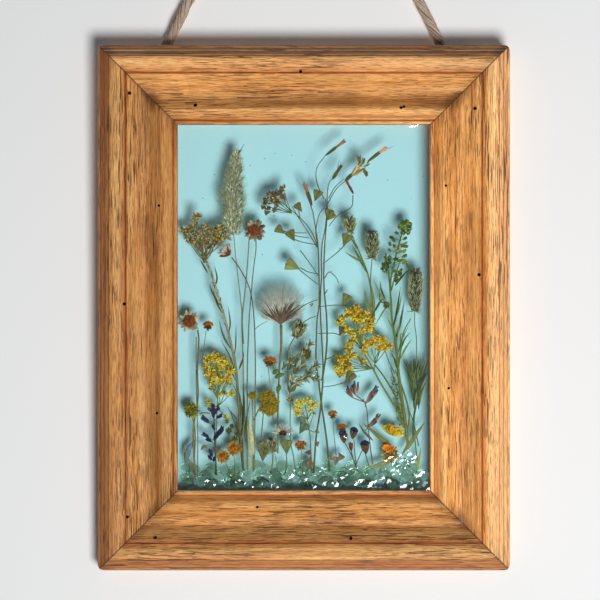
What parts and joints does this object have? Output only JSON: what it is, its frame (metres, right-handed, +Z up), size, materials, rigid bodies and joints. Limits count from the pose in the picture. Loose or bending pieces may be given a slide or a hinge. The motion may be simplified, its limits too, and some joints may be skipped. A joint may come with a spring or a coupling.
{
  "type": "pressed flower frame",
  "caption": "Hanging frame of moulded pine around a clear blue resin panel with dried wild flowers, grasses and glass chips sealed in it, on a jute cord loop.",
  "frame": {"origin": "the top of the hanging cord's loop, on the cord's centre line, where it bears on a nail", "axes": "+Z up, +X to the right of a person facing the frame, -Y out of the wall towards that person"},
  "size_m": [0.226, 0.0286, 0.4317],
  "materials": {
    "pine": "waxed",
    "resin": "polished",
    "jute": "matte",
    "steel": "satin",
    "dried_plants": "matte",
    "glass_chips": "polished"
  },
  "bodies": {
    "root": {"rail_top": "pine", "rail_bottom": "pine", "rail_left": "pine", "rail_right": "pine", "resin_panel": "resin", "cord_screw_left": "steel", "cord_screw_right": "steel", "cord_knot_left": "jute", "cord_knot_right": "jute", "hanging_cord": "jute"}
  },
  "joints": []
}
